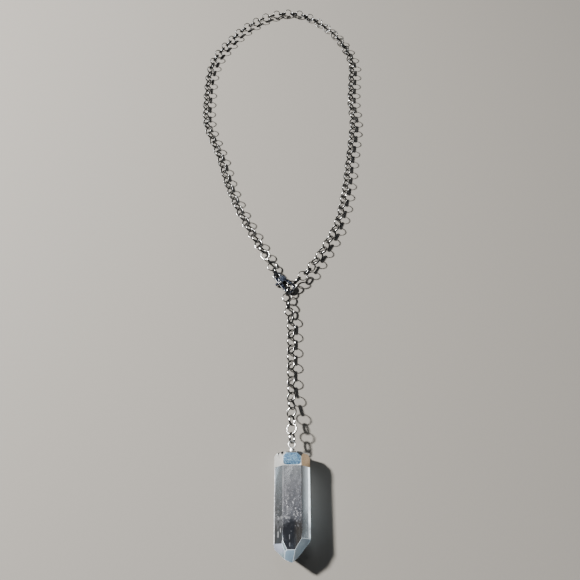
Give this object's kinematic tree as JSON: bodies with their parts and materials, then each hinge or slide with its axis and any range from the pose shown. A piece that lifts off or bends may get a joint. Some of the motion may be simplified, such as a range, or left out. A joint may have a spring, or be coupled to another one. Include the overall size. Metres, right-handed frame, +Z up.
{
  "type": "lariat necklace",
  "caption": "Round-link steel chain necklace closed by a lever clasp into a drop that holds a silver-capped crystal point, lying flat.",
  "frame": {"origin": "centre of the surface under the whole necklace as it lies", "axes": "+Y from the pendant's point up along the drop to the top of the neck loop, +Z up from the surface"},
  "size_m": [0.0964, 0.3428, 0.0136],
  "materials": {
    "chain_metal": "polished dark steel",
    "clasp_metal": "dark polished",
    "cap_metal": "silver, slightly uneven",
    "crystal": "natural clear and cloudy quartz"
  },
  "bodies": {
    "necklace": {"neck_chain": "chain_metal", "drop_chain": "chain_metal", "clasp_body": "clasp_metal", "clasp_pin": "clasp_metal", "pendant_cap": "cap_metal", "crystal": "crystal"},
    "lever": {"clasp_lever": "clasp_metal"}
  },
  "joints": [
    {"name": "lever_hinge", "type": "hinge", "parent": "necklace", "child": "lever", "pos_m": [0.00103, -0.04004, 0.00142], "axis": [0, 0, 1], "range_deg": [0, 14], "stiffness_Nm_per_rad": 0.002}
  ]
}
